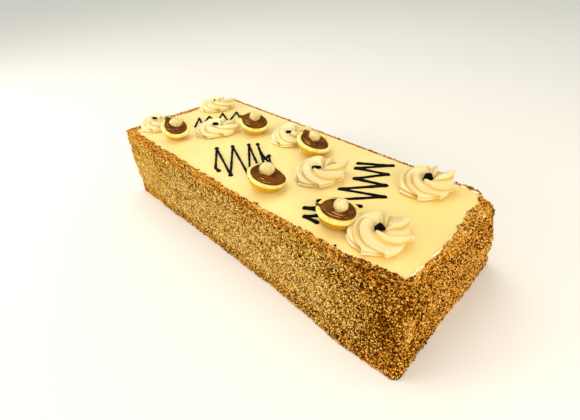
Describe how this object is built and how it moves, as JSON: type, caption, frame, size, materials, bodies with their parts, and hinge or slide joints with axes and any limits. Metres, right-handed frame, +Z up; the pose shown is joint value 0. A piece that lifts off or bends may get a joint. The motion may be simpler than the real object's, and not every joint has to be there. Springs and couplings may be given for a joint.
{
  "type": "long cream cake",
  "caption": "Long block cake with a crumb-coated side, yellow icing top, chocolate zigzag lines, piped cream rosettes and filled pastry tartlets with hazelnuts.",
  "frame": {"origin": "on the underside, below the middle of the cake", "axes": "+X along the cake, -Y out of its front long side, +Z up"},
  "size_m": [0.415, 0.1729, 0.1039],
  "materials": {
    "crumb_coat": "dry golden-brown cake crumbs, matte",
    "icing": "smooth pale yellow cream icing with a soft sheen",
    "cream": "piped pale cream, satin",
    "pastry": "smooth baked shortcrust, golden yellow",
    "chocolate": "glossy milk chocolate cream",
    "nut": "skinned pale hazelnut"
  },
  "bodies": {
    "root": {"cake_body": "crumb_coat", "icing_top": "icing", "rosette_1": "cream", "rosette_2": "cream", "rosette_3": "cream", "rosette_4": "cream", "rosette_5": "cream", "rosette_6": "cream", "rosette_7": "cream", "tartlet_shell_1": "pastry", "tartlet_filling_1": "chocolate", "hazelnut_1": "nut", "tartlet_shell_2": "pastry", "tartlet_filling_2": "chocolate", "hazelnut_2": "nut", "tartlet_shell_3": "pastry", "tartlet_filling_3": "chocolate", "hazelnut_3": "nut", "tartlet_shell_4": "pastry", "tartlet_filling_4": "chocolate", "hazelnut_4": "nut", "tartlet_shell_5": "pastry", "tartlet_filling_5": "chocolate", "hazelnut_5": "nut"}
  },
  "joints": []
}
